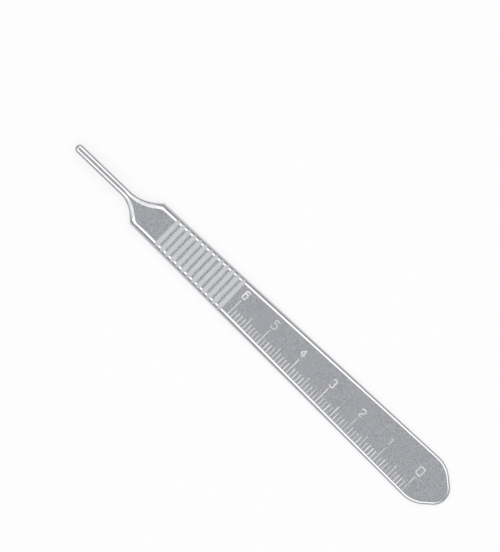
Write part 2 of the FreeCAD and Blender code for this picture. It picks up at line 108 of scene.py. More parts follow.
def worked_steel(name, trace_size, stretch, colours, roughness, bump, metallic=1):
    """Steel with traces of a size in millimetres. Colours and roughness run from the pits to the crests."""
    material = bpy.data.materials.new(name)
    material.use_nodes = True
    tree = material.node_tree
    place = add_node(tree, "ShaderNodeTexCoord").outputs["Object"]
    along = add_node(tree, "ShaderNodeMapping", {"Scale": stretch}, {"Vector": place})
    traces = add_node(
        tree,
        "ShaderNodeTexNoise",
        {"Scale": 1 / (trace_size * MM), "Detail": 2},
        {"Vector": along.outputs["Vector"]},
    )
    height = add_node(
        tree,
        "ShaderNodeMapRange",
        {"From Min": NOISE_PIT, "From Max": NOISE_CREST},
        {"Value": traces.outputs["Fac"]},
    ).outputs["Result"]
    # On a Mix node for colours, inputs 6 and 7 are the two colours and output 2 is the result.
    tone = add_node(
        tree,
        "ShaderNodeMix",
        {"data_type": "RGBA", 6: paint(colours[0]), 7: paint(colours[1])},
        {0: height},
    )
    rough = add_node(
        tree,
        "ShaderNodeMapRange",
        {"To Min": roughness[0], "To Max": roughness[1]},
        {"Value": height},
    )
    relief = add_node(
        tree,
        "ShaderNodeBump",
        {"Strength": bump, "Distance": TRACE_DEPTH * MM},
        {"Height": height},
    )
    shader = tree.nodes["Principled BSDF"]
    shader.inputs["Metallic"].default_value = metallic
    tree.links.new(tone.outputs[2], shader.inputs["Base Color"])
    tree.links.new(rough.outputs["Result"], shader.inputs["Roughness"])
    tree.links.new(relief.outputs["Normal"], shader.inputs["Normal"])
    print(f"{name}: traces of {trace_size} mm, roughness {roughness[0]} to {roughness[1]}")
    return material


print(f"with a bump of 1 the traces are {TRACE_DEPTH} mm deep")

# %% [markdown]
# The flats are blasted with fine glass beads and then brushed lightly along the handle. The pits are about
# 0.05 mm wide, but at this camera a pixel is 0.24 mm, so the grain is drawn at 0.25 mm, or it wouldn't
# show.
#
# The rounded edges are run against a polishing wheel and mirror the lamps as bright lines. The wheel leaves
# faint waves of about a millimetre. At the neck the flares are too tight for the wheel, so they are dressed
# with a file, which leaves a duller and more uneven surface.
#
# A grinding wheel cuts the finger grooves and leaves lines along them, across the handle. They scatter the
# light, and the groove's colour is painted paler than the steel as painted light, so a groove looks pale.
# The lines are really 0.02 mm apart and are drawn at 0.15 mm.
#
# The ruler is etched with acid a twentieth of a millimetre deep. The frosted metal scatters light like pale
# paint, and because the acid bites unevenly along the ruler, some marks come out fainter than others.

# %% The five finishes
# Blasted and brushed: an even satin grey. Its colour is darker than the steel's own, as painted shade.
SATIN_AND_PAINTED_SHADE = worked_steel("satin_stainless_painted_shade", 0.25, (0.5, 1, 1), ("#97989D", "#A1A2A6"), (0.20, 0.25), 0.04)
# Polished: bright lines where an edge mirrors a lamp.
POLISHED = worked_steel("polished_stainless", 1.2, (1, 1, 1), ("#C8C9CC", "#CECFD1"), (0.10, 0.18), 0)
# Filed: the same lines, but softer and broken up.
FILED = worked_steel("filed_stainless", 0.5, (0.6, 0.6, 1), ("#C0C1C4", "#D8D9DB"), (0.30, 0.42), 0.3)
# Ground: pale from every side, partly from its roughness and partly from painted light in its colour.
GROUND_AND_PAINTED_LIGHT = worked_steel("ground_stainless_painted_light", 0.15, (1, 0.06, 1), ("#DDDEE1", "#ECEDEF"), (0.85, 1.0), 0.2)
# Etched: frosted and nearly white, with little mirror left in it.
ETCHED = worked_steel("etched_stainless", 1.4, (1, 0.15, 1), ("#C4C5C8", "#EDEDEF"), (0.75, 0.85), 0, 0.3)

# %% [markdown]
# ## The blank
#
# The maker stamps the outline from a bar, tapers it in thickness from neck to butt and rounds both long
# edges until only a narrow land is left at mid height. The outline could be traced with a Bezier curve, but
# a drawing of a part like this gives corners and radii. So the outline here is a ring of corners, each with
# a radius, and one function rounds them.
#
# Lengths are in millimetres. A "station" is a distance along the handle from the tip of the tang.

# %% The outline's sizes
TANG_WIDTH = 2.3
PLAIN_FLARE = {"station": 17.3, "radius": 9.5, "angle": 42}
RULER_FLARE = {"station": 15.9, "radius": 7.0, "angle": 47}
NECK_STATION = 25.2
NECK_WIDTH = 9.6
BUTT_STATION = 112.4
BUTT_WIDTH = 12.9
HIP_RADIUS = 7.9
FLANK_ANGLE = 40
NOSE_RADIUS = 4.15
EDGE_SLOPE = (BUTT_WIDTH - NECK_WIDTH) / 2 / (BUTT_STATION - NECK_STATION)
# Shoulder radii on the plain side and on the ruler side.
SHOULDERS = (0.15, 1.5)
edge_lean = math.degrees(math.atan(EDGE_SLOPE))
print(f"neck {NECK_WIDTH} mm and butt {BUTT_WIDTH} mm wide, so each edge leans {edge_lean:.2f} degrees")


# %% The corners of the outline
def half_width(station):
    """Half the handle's width on its long straight sides."""
    return NECK_WIDTH / 2 + (station - NECK_STATION) * EDGE_SLOPE


def meet(p, p_slope, q, q_slope):
    """Where two sloping lines cross."""
    x = (q[1] - p[1] + p_slope * p[0] - q_slope * q[0]) / (p_slope - q_slope)
    return x, p[1] + p_slope * (x - p[0])


def long_side(side, flare, shoulder_radius):
    """The corners of one long side from tang to hip, as (x, y, radius)."""
    slope = math.tan(math.radians(flare["angle"]))
    reach = flare["radius"] * math.tan(math.radians(flare["angle"] / 2))
    foot = (TIP + flare["station"] + reach, TANG_WIDTH / 2)
    neck = (TIP + NECK_STATION, half_width(NECK_STATION))
    flank = math.tan(math.radians(FLANK_ANGLE))
    apex = NOSE_RADIUS / math.sin(math.radians(FLANK_ANGLE)) - NOSE_RADIUS + BUTT
    shoulder = meet(foot, slope, neck, EDGE_SLOPE)
    hip = meet(neck, EDGE_SLOPE, (apex, 0), -flank)
    corners = [
        (TIP, TANG_WIDTH / 2, TANG_WIDTH / 2),
        (*foot, flare["radius"]),
        (*shoulder, shoulder_radius),
        (*hip, HIP_RADIUS),
    ]
    return [(x, side * y, r) for x, y, r in corners], (apex, 0, NOSE_RADIUS)


def outline_corners(plain_shoulder, ruler_shoulder):
    """The whole ring, counter-clockwise from above, starting at the tang."""
    ruler, nose = long_side(-1, RULER_FLARE, ruler_shoulder)
    plain, _ = long_side(1, PLAIN_FLARE, plain_shoulder)
    return [*ruler, nose, *reversed(plain)]


print(len(outline_corners(*SHOULDERS)), "corners round the outline")

# %% [markdown]
# Each corner becomes an arc with a point at least every three degrees, and each straight line gets a point
# at least every millimetre and a half. The function also gives the direction that points into the metal at
# every point, because the rounded edge is built inwards from the outline.

# %% Rounding the corners of a ring
ARC_STEP = math.radians(3)
LINE_STEP = 1.5


def arc_of(before, corner, after):
    """The points of one rounded corner and their inward directions."""
    here = Vector(corner[:2])
    back = (Vector(before[:2]) - here).normalized()
    ahead = (Vector(after[:2]) - here).normalized()
    half = back.angle(ahead) / 2
    inside = (back + ahead).normalized()
    centre = here + inside * (corner[2] / math.sin(half))
    turn = math.pi - 2 * half
    convex = (-back).cross(ahead) > 0
    count = max(2, math.ceil(turn / ARC_STEP))
    start = Matrix.Rotation(turn / 2 if not convex else -turn / 2, 2) @ -inside
    spin = turn if convex else -turn
    spokes = [Matrix.Rotation(spin * i / count, 2) @ start for i in range(count + 1)]
    points = [centre + spoke * corner[2] for spoke in spokes]
    return points, [-spoke if convex else spoke for spoke in spokes]


def trace(corners, counts=None):
    """Points and inward directions round a ring, and how many steps each straight line took."""
    around = zip(corners[-1:] + corners[:-1], corners, corners[1:] + corners[:1])
    arcs = [arc_of(*three) for three in around]
    if counts is None:
        gaps = [(b[0][0] - a[0][-1]).length for a, b in zip(arcs, arcs[1:] + arcs[:1])]
        counts = [max(1, math.ceil(gap / LINE_STEP)) for gap in gaps]
    points, inward = [], []
    for (arc, spokes), (after, _), count in zip(arcs, arcs[1:] + arcs[:1], counts):
        points += arc
        inward += spokes
        points += [arc[-1].lerp(after[0], i / count) for i in range(1, count)]
        inward += [spokes[-1]] * (count - 1)
    return np.array(points), np.array(inward), counts


outline, _, line_counts = trace(outline_corners(*SHOULDERS))
print(len(outline), "points round the outline, width", round(np.ptp(outline[:, 1]), 2), "mm")

# %% [markdown]
# The edge is a quarter round that starts at the outline and ends at the rim of the flat. On the plain side
# the outline has a nearly sharp shoulder, but polishing has softened the rim inside it. So the rim is
# traced from a second ring with larger shoulder radii, and every edge profile is stretched between its
# outline point and its rim point.

# %% The taper and the rounded edge
NECK_THICKNESS = 3.13
BUTT_THICKNESS = 1.69
TAPER = (NECK_THICKNESS - BUTT_THICKNESS) / (BUTT_STATION - NECK_STATION)
SIDE_LAND = 0.1
TANG_EDGE_RADIUS = 0.9
RIM_SHOULDERS = (4.5, 4.0)


def top_height(x):
    """Height of the sloping top face."""
    return NECK_THICKNESS + (NECK_STATION - (x - TIP)) * TAPER


def edge_radius(x):
    """Radius of the rounded edge: small on the tang, nearly half the thickness from the neck on."""
    full = (top_height(x) - SIDE_LAND) / 2
    share = np.clip((x - TIP - RULER_FLARE["station"]) / (NECK_STATION - RULER_FLARE["station"]), 0, 1)
    return TANG_EDGE_RADIUS + (full - TANG_EDGE_RADIUS) * share


guide, inward, _ = trace(outline_corners(*RIM_SHOULDERS), line_counts)
radius = edge_radius(outline[:, 0])
rim = guide + inward * radius[:, None]
print("edge radius from", radius.min().round(2), "to", radius.max().round(2), "mm")

# %% [markdown]
# The blank is a stack of rings, all with the same number of points: the rim of the underside, down and
# round the lower edge, up the land, round the upper edge and in to the rim of the top. Two more rings lie
# just inside the rims. They keep the shading of the round edge from bleeding into the flats.
#
# The profile is a superellipse: a power of one gives the plain quarter circle, and a smaller power a
# squarer one. Where the bar is thick, the edge is a true quarter circle. A thin edge sinks into the soft
# polishing wheel, which rolls over the rim and leaves a squarer profile. In the two flares a file has
# dressed the upper edge, so there it is a bevel with a tight round below it.

# %% How the edge was worked
THIN_RADIUS, THIN_POWER = 0.9, 0.85
THICK_RADIUS, THICK_POWER = 1.3, 1.0
# Stations at which the filing starts, is full, starts to fade and ends, on each side.
PLAIN_FILED = (16.5, 20.0, 22.8, 24.6)
RULER_FILED = (15.5, 18.5, 20.6, 22.4)
FILED_POWER = 0.35
FILED_BEVEL = 0.3
station = outline[:, 0] - TIP
filed_plain, filed_ruler = (np.interp(station, span, (0, 1, 1, 0)) for span in (PLAIN_FILED, RULER_FILED))
filed = np.where(outline[:, 1] > 0, filed_plain, filed_ruler)
polished_power = np.interp(radius, (THIN_RADIUS, THICK_RADIUS), (THIN_POWER, THICK_POWER))
print("filed at", np.count_nonzero(filed), "of", len(outline), "points round the outline")

# %% The rings of the edge
EDGE_STEPS = 30
RIM_BORDER = 0.03


def edge_ring(angle, top):
    """One ring of the rounded edge, at an angle from 0 on the land to 90 degrees at the rim."""
    share = filed if top else 0 * filed
    power = polished_power + (FILED_POWER - polished_power) * share
    out = max(math.cos(angle), 0) ** power
    xy = rim + (outline - rim) * out[:, None]
    bevel = FILED_BEVEL * share
    depth = radius * (bevel * out + (1 - bevel) * (1 - math.sin(angle) ** power))
    z = top_height(xy[:, 0]) - depth if top else depth
    return np.column_stack([xy, z])


def flat_ring(top):
    """The ring just inside a rim."""
    xy = rim + inward * RIM_BORDER
    z = top_height(xy[:, 0]) if top else np.zeros(len(xy))
    return np.column_stack([xy, z])


land = edge_ring(0, True)[:, 2] - edge_ring(0, False)[:, 2]
print("the land is", land.min().round(2), "to", land.max().round(2), "mm high")


# %% The blank, ring by ring
def shape_blank():
    """The closed blank, with satin flats in a colour darkened by painted shade, a polished edge and filed
    flares.
    """
    angles = [math.pi / 2 * i / EDGE_STEPS for i in range(EDGE_STEPS + 1)]
    rings = [flat_ring(False)]
    rings += [edge_ring(angle, False) for angle in reversed(angles)]
    rings += [edge_ring(angle, True) for angle in angles]
    rings += [flat_ring(True)]
    count = len(outline)
    faces = [list(range(count))[::-1], list(range((len(rings) - 1) * count, len(rings) * count))]
    for first in range(0, (len(rings) - 1) * count, count):
        for i in range(count):
            here, ahead = first + i, first + (i + 1) % count
            faces.append([here, ahead, ahead + count, here + count])
    mesh = bpy.data.meshes.new("steel_handle")
    mesh.from_pydata([Vector(p) * MM for p in np.concatenate(rings)], [], faces)
    for finish in (SATIN_AND_PAINTED_SHADE, POLISHED, FILED):
        mesh.materials.append(finish)
    # The first two faces are the flats, and after them each level between two rings is one band of faces.
    for face in mesh.polygons:
        level, spot = divmod(face.index - 2, count)
        if 1 <= level < len(rings) - 2:
            dressed = level > EDGE_STEPS + 1 and filed[spot] > 0.5
            face.material_index = 2 if dressed else 1
    return mesh


handle = bpy.data.objects.new("steel_handle", shape_blank())
scene.collection.objects.link(handle)
print("blank:", len(handle.data.vertices), "points,", len(handle.data.polygons), "faces")

# %% [markdown]
# ## Cutting tools
#
# Everything else is cut away. A Boolean modifier does what a milling cutter does: the tool is a closed
# mesh, and what it covers is removed. The cut surface takes the tool's material, so a groove gets its
# ground finish, with its painted light, as it is cut. Straight cuts use a prism, which is a flat profile
# swept along one direction.
#
# The manifold solver is quick and leaves a closed mesh, but it wants closed meshes to start with. The exact
# solver is slower and copes with a mesh that crosses itself.


# %% A prism and a cut
def prism(name, profile, sweep, material):
    """A closed bar: a flat profile of points in millimetres, swept along a vector."""
    bm = bmesh.new()
    near = [bm.verts.new(Vector(p) * MM) for p in profile]
    far = [bm.verts.new((Vector(p) + Vector(sweep)) * MM) for p in profile]
    bm.faces.new(near)
    bm.faces.new(far)
    for i in range(len(profile)):
        bm.faces.new((near[i - 1], near[i], far[i], far[i - 1]))
    bmesh.ops.recalc_face_normals(bm, faces=bm.faces)
    mesh = bpy.data.meshes.new(name)
    bm.to_mesh(mesh)
    bm.free()
    mesh.materials.append(material)
    tool = bpy.data.objects.new(name, mesh)
    scene.collection.objects.link(tool)
    return tool


def plain_mesh(thing):
    """What an object's modifiers make, as a mesh of its own."""
    graph = bpy.context.evaluated_depsgraph_get()
    return bpy.data.meshes.new_from_object(thing.evaluated_get(graph))


def cut(piece, tool, operation="DIFFERENCE", solver="MANIFOLD"):
    """Cuts a piece with a tool, or keeps what both share, and takes the tool away."""
    modifier = piece.modifiers.new("cut", "BOOLEAN")
    modifier.object = tool
    modifier.operation = operation
    modifier.solver = solver
    modifier.use_self = solver == "EXACT"
    modifier.material_mode = "TRANSFER"
    before = len(piece.data.polygons)
    mesh = plain_mesh(piece)
    mesh.name = piece.name
    piece.modifiers.clear()
    piece.data = mesh
    bpy.data.objects.remove(tool)
    print(f"{piece.name}: {before} faces before the cut, {len(mesh.polygons)} after")


print("ready to cut:", handle.name)

# %% [markdown]
# ## The blade fitting
#
# The blade slides onto the underside of the tang. A ramp brings the metal down to the crest of a rail, the
# seat lies beside the rail, and a slanted stop meets the heel of the blade. An undercut along both sides of
# the rail holds the blade's slot, and behind it the rail is full width, as the boss that locks the blade.
# None of this shows in a view from above, but it is what makes the handle work.

# %% The blade fitting's sizes
MARGIN = 1.0
RAIL_CREST = 1.45
RELIEF_STATION = 28.8
RELIEF_END_STATION = 22.6
LEAD_STATION = 1.6
LEAD_ANGLE = 12
RAIL_WIDTH = 2.1
RAIL_LIP = 0.4
RAIL_UNDERCUT = 0.35
WEB_SETBACK = 0.4
BLADE_GAP = 0.45
BOSS_START_STATION = 12.2
BOSS_END_STATION = 17.5
HEEL_STATION = 21.3
HEEL_ANGLE = 20
LIP_HEIGHT = RAIL_CREST + RAIL_LIP
SEAT_HEIGHT = LIP_HEIGHT + BLADE_GAP
print(f"rail crest at {RAIL_CREST} mm, slot from {LIP_HEIGHT:.2f} mm to the seat at {SEAT_HEIGHT:.2f} mm")


# %% The ramp and the crest of the rail
def cut_relief():
    """The ramp, the crest of the rail and the bevel that leads the blade on."""
    side = BUTT_WIDTH
    ramp = RAIL_CREST / (RELIEF_STATION - RELIEF_END_STATION)
    lead = (LEAD_STATION + MARGIN) * math.tan(math.radians(LEAD_ANGLE))
    profile = [
        (TIP + RELIEF_END_STATION, -side, RAIL_CREST),
        (TIP + LEAD_STATION, -side, RAIL_CREST),
        (TIP - MARGIN, -side, RAIL_CREST + lead),
        (TIP - MARGIN, -side, -MARGIN),
        (TIP + RELIEF_STATION + MARGIN / ramp, -side, -MARGIN),
    ]
    cut(handle, prism("relief", profile, (0, 2 * side, 0), SATIN_AND_PAINTED_SHADE))


cut_relief()

# %% The seat
HALF_ROUND_STEPS = 36


def half_round(centre_x, r, start, z):
    """Half a circle on the middle line, from a start angle in degrees."""
    turns = [start + 180 * i / HALF_ROUND_STEPS for i in range(HALF_ROUND_STEPS + 1)]
    return [(centre_x + r * math.cos(a), r * math.sin(a), z) for a in map(math.radians, turns)]


def cut_seat():
    """The blade's seat round the rail, up to the slanted stop."""
    side = NECK_WIDTH / 2 + MARGIN
    lean = side * math.tan(math.radians(HEEL_ANGLE))
    stop = TIP + HEEL_STATION
    outer = [(TIP - MARGIN, side), (TIP - MARGIN, -side), (stop - lean, -side), (stop + lean, side)]
    seat = prism("seat", [(x, y, -MARGIN) for x, y in outer], (0, 0, SEAT_HEIGHT + MARGIN), SATIN_AND_PAINTED_SHADE)
    half = RAIL_WIDTH / 2
    rail = half_round(TIP + TANG_WIDTH / 2, half, 90, -2 * MARGIN)
    rail += half_round(TIP + BOSS_END_STATION - half, half, 270, -2 * MARGIN)
    cut(seat, prism("rail", rail, (0, 0, SEAT_HEIGHT + 3 * MARGIN), SATIN_AND_PAINTED_SHADE))
    cut(handle, seat)


cut_seat()


# %% The undercut
def cut_undercut():
    """The slots that hold the blade, along both sides of the rail and round its tip."""
    half = RAIL_WIDTH / 2
    web = half - RAIL_UNDERCUT
    side = TANG_WIDTH / 2 + MARGIN
    boss = TIP + BOSS_START_STATION
    front = TIP - MARGIN
    corners = [(boss, -web), (boss, -side), (front, -side), (front, side), (boss, side), (boss, web)]
    profile = half_round(TIP + half + WEB_SETBACK, web, 90, LIP_HEIGHT)
    profile += [(x, y, LIP_HEIGHT) for x, y in corners]
    cut(handle, prism("undercut", profile, (0, 0, BLADE_GAP), SATIN_AND_PAINTED_SHADE))


cut_undercut()

# %% [markdown]
# ## Tools that repeat
#
# The grip has 13 grooves on each face and the ruler has 61 marks. Geometry Nodes make such rows: a line of
# points, a tool placed on each point, and the copies turned into real mesh at the end. The sizes are inputs
# of the tree, so the same tree serves both faces. The function below runs a tree once and keeps the mesh.


# %% Running a node tree
def new_tree(name, inputs):
    """A geometry tree with named inputs, given as {name: kind of socket}."""
    tree = bpy.data.node_groups.new(name, "GeometryNodeTree")
    tree.interface.new_socket("Geometry", in_out="INPUT", socket_type="NodeSocketGeometry")
    for label, kind in inputs.items():
        tree.interface.new_socket(label, in_out="INPUT", socket_type=f"NodeSocket{kind}")
    tree.interface.new_socket("Geometry", in_out="OUTPUT", socket_type="NodeSocketGeometry")
    return tree, add_node(tree, "NodeGroupInput").outputs


def end_tree(tree, geometry, finish):
    """Ends a tree in real mesh with one material."""
    real = add_node(tree, "GeometryNodeRealizeInstances", links={"Geometry": geometry})
    done = add_node(
        tree,
        "GeometryNodeSetMaterial",
        links={"Geometry": real.outputs["Geometry"], "Material": finish},
    )
    add_node(tree, "NodeGroupOutput", links={"Geometry": done.outputs["Geometry"]})


def run_tree(name, tree, values, start=None, place=None):
    """An object whose plain mesh is what the tree makes with these values."""
    thing = bpy.data.objects.new(name, start or bpy.data.meshes.new(name))
    scene.collection.objects.link(thing)
    modifier = thing.modifiers.new(name, "NODES")
    modifier.node_group = tree
    for socket in tree.interface.items_tree:
        if socket.in_out == "INPUT" and socket.name in values:
            modifier[socket.identifier] = values[socket.name]
    mesh = plain_mesh(thing)
    thing.modifiers.clear()
    thing.data = mesh
    if place:
        mesh.transform(place)
    print(f"{name}: {len(mesh.vertices)} points, {len(mesh.polygons)} faces")
    return thing


print("Blender", bpy.app.version_string, "makes the node trees")

# %% [markdown]
# ## Finger grooves
#
# Each groove is cut by a wheel with a round rim that runs straight across the handle, so its tool is a long
# cylinder lying crosswise. Because the edges of the blank are round, every groove runs out there in a
# pointed end. The row on the top face follows its slope.
#
# A second row with a bar of eight sides breaks the lips. Its lower corner hangs inside the groove, so only
# the two sides beside that corner touch the metal, and each lip gets a bevel about 0.1 mm wide.

# %% The grooves' sizes
GROOVE_COUNT = 13
GROOVE_STATION = 30.6
GROOVE_PITCH = 1.785
GROOVE_RADIUS = 0.7
GROOVE_DEPTH = 0.25
GROOVE_SIDES = 72
LIP_REACH = 0.06
LIP_RADIUS = 0.88
LIP_SIDES = 8
TAPER_ANGLE = math.atan(TAPER)

# A bar's lift is the height of its axis over the face.
groove_lift = GROOVE_RADIUS - GROOVE_DEPTH
groove_half = math.sqrt(GROOVE_RADIUS**2 - groove_lift**2)
lip_half = groove_half + LIP_REACH
lip_lift = LIP_RADIUS - lip_half * math.tan(math.pi / LIP_SIDES)
print(f"each groove is {2 * groove_half:.2f} mm wide, and {2 * lip_half:.2f} mm over its lips")


# %% The groove tools
def groove_tree():
    """A row of bars that lie across the handle."""
    sizes = {"Count": "Int", "Sides": "Int", "Finish": "Material"}
    sizes |= {label: "Float" for label in ("Pitch", "Radius", "Length")}
    tree, given = new_tree("groove_row", sizes)
    step = add_node(tree, "ShaderNodeCombineXYZ", links={"X": given["Pitch"]})
    row = add_node(
        tree,
        "GeometryNodeMeshLine",
        links={"Count": given["Count"], "Offset": step.outputs["Vector"]},
    )
    wheel = add_node(
        tree,
        "GeometryNodeMeshCylinder",
        links={"Vertices": given["Sides"], "Radius": given["Radius"], "Depth": given["Length"]},
    )
    copies = add_node(
        tree,
        "GeometryNodeInstanceOnPoints",
        {"Rotation": (math.pi / 2, 0, 0)},
        {"Points": row.outputs["Mesh"], "Instance": wheel.outputs["Mesh"]},
    )
    end_tree(tree, copies.outputs["Instances"], given["Finish"])
    return tree


GROOVE_TREE = groove_tree()
print("groove tree:", len(GROOVE_TREE.nodes), "nodes")


# %% Cutting the grooves
def cut_grooves(name, top, sides, bar_radius, lift):
    """Cuts one face with a row of bars."""
    start = Vector((TIP + GROOVE_STATION, 0, -lift))
    if top:
        start.z = top_height(start.x) + lift / math.cos(TAPER_ANGLE)
    place = Matrix.Translation(start * MM) @ Matrix.Rotation(TAPER_ANGLE if top else 0, 4, "Y")
    # The grooves take the ground finish, whose paler colour is painted light.
    values = {
        "Count": GROOVE_COUNT,
        "Sides": sides,
        "Pitch": GROOVE_PITCH * MM,
        "Radius": bar_radius * MM,
        "Length": 2 * BUTT_WIDTH * MM,
        "Finish": GROUND_AND_PAINTED_LIGHT,
    }
    cut(handle, run_tree(name, GROOVE_TREE, values, place=place))


for face, top in (("top", True), ("under", False)):
    cut_grooves(face + "_grooves", top, GROOVE_SIDES, GROOVE_RADIUS, groove_lift)
    cut_grooves(face + "_lips", top, LIP_SIDES, LIP_RADIUS, lip_lift)

# %% [markdown]
# ## The ruler
#
# The ruler reads from 0 near the butt to 6 cm behind the grip, with a mark for every millimetre. Its foot
# runs just inside the rim of the flat. Short, middle and long marks differ only in length, so the tree
# picks the length from the number of the point: every tenth mark is long, and every other fifth one is
# middling.

# %% The ruler's own frame
RULER_STATION = 114.6
RULER_LENGTH = 60
RIM_GAP = 0.08
MARK_PITCH = 1.0
MARK_WIDTH = 0.27
MARK_DEPTH = 0.05
MARK_LENGTHS = {"Short": 2.25, "Middle": 3.3, "Long": 4.6}
RULER_ANGLE = math.atan(EDGE_SLOPE) + math.atan(TAPER / 2)

ruler_x = TIP + RULER_STATION
ruler_foot = half_width(RULER_STATION) - edge_radius(ruler_x) - RIM_GAP
RULER_PLACE = (
    Matrix.Translation(Vector((ruler_x, 0, top_height(ruler_x))) * MM)
    @ Matrix.Rotation(TAPER_ANGLE, 4, "Y")
    @ Matrix.Translation(Vector((0, -ruler_foot, 0)) * MM)
    @ Matrix.Rotation(-RULER_ANGLE, 4, "Z")
)
print("zero mark at x =", round(ruler_x, 2), "mm, foot at y =", round(-ruler_foot, 2), "mm")


# %% The mark tools
def mark_tree():
    """A row of blocks that stand on the ruler's foot line and straddle the face."""
    sizes = {"Count": "Int", "Finish": "Material"}
    sizes |= {label: "Float" for label in ("Pitch", "Width", "Depth", *MARK_LENGTHS)}
    tree, given = new_tree("ruler_marks", sizes)
    back = add_node(tree, "ShaderNodeMath", {"operation": "MULTIPLY", 1: -1.0}, {0: given["Pitch"]})
    step = add_node(tree, "ShaderNodeCombineXYZ", links={"X": back.outputs["Value"]})
    row = add_node(
        tree,
        "GeometryNodeMeshLine",
        links={"Count": given["Count"], "Offset": step.outputs["Vector"]},
    )
    number = add_node(tree, "GeometryNodeInputIndex").outputs["Index"]
    length = given["Short"]
    for every, label in ((5, "Middle"), (10, "Long")):
        rest = add_node(tree, "ShaderNodeMath", {"operation": "MODULO", 1: every}, {0: number}).outputs
        hit = add_node(tree, "ShaderNodeMath", {"operation": "LESS_THAN", 1: 0.5}, {0: rest["Value"]})
        pick = add_node(
            tree,
            "GeometryNodeSwitch",
            {"input_type": "FLOAT"},
            {"Switch": hit.outputs["Value"], "False": length, "True": given[label]},
        )
        length = pick.outputs["Output"]
    deep = add_node(tree, "ShaderNodeMath", {"operation": "MULTIPLY", 1: 2.0}, {0: given["Depth"]})
    size = add_node(
        tree,
        "ShaderNodeCombineXYZ",
        links={"X": given["Width"], "Y": length, "Z": deep.outputs["Value"]},
    )
    block = add_node(tree, "GeometryNodeMeshCube", {"Size": (1, 1, 1)})
    footed = add_node(
        tree,
        "GeometryNodeTransform",
        {"Translation": (0, 0.5, 0)},
        {"Geometry": block.outputs["Mesh"]},
    )
    copies = add_node(
        tree,
        "GeometryNodeInstanceOnPoints",
        links={
            "Points": row.outputs["Mesh"],
            "Instance": footed.outputs["Geometry"],
            "Scale": size.outputs["Vector"],
        },
    )
    end_tree(tree, copies.outputs["Instances"], given["Finish"])
    return tree


MARK_TREE = mark_tree()
print("mark tree:", len(MARK_TREE.nodes), "nodes")

# %% Cutting the marks
mark_values = {label: length * MM for label, length in MARK_LENGTHS.items()}
mark_values |= {"Count": RULER_LENGTH + 1, "Pitch": MARK_PITCH * MM, "Finish": ETCHED}
mark_values |= {"Width": MARK_WIDTH * MM, "Depth": MARK_DEPTH * MM}
cut(handle, run_tree("ruler_marks", MARK_TREE, mark_values, place=RULER_PLACE))

# %% [markdown]
# ## The figures
#
# The figures 0 to 6 stand at the centimetre marks, drawn with one stroke of even width, as an engraver's
# stencil guides them. A font would give strokes that swell and thin, so each figure is one or two short
# paths of its own. The tree rounds the corners of a path and sweeps a flat bar along it.
#
# Strokes that cross would share their upper and lower planes, which is hard for a Boolean. So the second
# stroke of a figure lies a little higher than the first, and an intersection with a plain block then unites
# them all into one closed tool.

# %% The paths of the figures
STROKE_WIDTH = 0.37
BEND_STEP = 12


def bend(centre, r, start, end):
    """Points along an arc between two angles in degrees."""
    count = max(2, round(abs(end - start) / BEND_STEP))
    angles = [math.radians(start + (end - start) * i / count) for i in range(count + 1)]
    return [(centre[0] + r * math.cos(a), centre[1] + r * math.sin(a)) for a in angles]


def boxed(half, bottom, top, corner):
    """A closed loop with rounded corners."""
    low_y, high_y = bottom + corner, top - corner
    across = half - corner
    return [
        *bend((across, low_y), corner, -90, 0),
        *bend((across, high_y), corner, 0, 90),
        *bend((-across, high_y), corner, 90, 180),
        *bend((-across, low_y), corner, 180, 270),
    ]


# Each figure is a list of (path, whether it is closed). The middle of its foot is at (0, 0).
FIGURES = [
    [(boxed(0.74, 0.15, 2.25, 0.45), True)],
    [([(-0.68, 1.7), (-0.1, 1.95), (-0.03, 0.15)], False)],
    [([*bend((0, 1.55), 0.6, 165, -35), (-0.7, 0.15), (0.7, 0.15)], False)],
    [(bend((0, 1.72), 0.56, 165, -70), False), (bend((0, 0.76), 0.64, 72, -160), False)],
    [([(-0.04, 2.12), (-1.02, 0.74), (0.45, 0.74)], False), ([(0, 2.12), (-0.03, 0.12)], False)],
    [([(0.68, 2.35), (-0.6, 2.35), (-0.62, 1.25), *bend((0, 0.86), 0.72, 140, -155)], False)],
    [(boxed(0.53, 0.15, 1.5, 0.35), True), ([(-0.53, 1.0), *bend((0, 1.74), 0.53, 180, 20)], False)],
]
print(len(FIGURES), "figures of", sum(len(path) for figure in FIGURES for path, _ in figure), "points")


# %% The stroke tools
def stroke_tree():
    """Flat bars along paths, with the paths' corners rounded."""
    sizes = {"Width": "Float", "Depth": "Float", "Corner": "Float", "Finish": "Material"}
    tree, given = new_tree("figure_strokes", sizes)
    path = add_node(tree, "GeometryNodeMeshToCurve", links={"Mesh": given["Geometry"]})
    soft = add_node(
        tree,
        "GeometryNodeFilletCurve",
        links={"Curve": path.outputs["Curve"], "Radius": given["Corner"]},
    )
    level = add_node(
        tree,
        "GeometryNodeSetCurveNormal",
        {"mode": "Z_UP"},
        {"Curve": soft.outputs["Curve"]},
    )
    deep = add_node(tree, "ShaderNodeMath", {"operation": "MULTIPLY", 1: 2.0}, {0: given["Depth"]})
    bar = add_node(
        tree,
        "GeometryNodeCurvePrimitiveQuadrilateral",
        links={"Width": given["Width"], "Height": deep.outputs["Value"]},
    )
    swept = add_node(
        tree,
        "GeometryNodeCurveToMesh",
        {"Fill Caps": True},
        {"Curve": level.outputs["Curve"], "Profile Curve": bar.outputs["Curve"]},
    )
    end_tree(tree, swept.outputs["Mesh"], given["Finish"])
    return tree


STROKE_TREE = stroke_tree()
print("stroke tree:", len(STROKE_TREE.nodes), "nodes")

# %% Cutting the figures
FIGURE_PITCH = 10 * MARK_PITCH
FIGURE_HEIGHTS = [5.2, 5.3, 5.2, 5.15, 5.2, 5.05, 5.15]
CORNER_RADIUS = 0.2
STROKE_STEP = 0.004


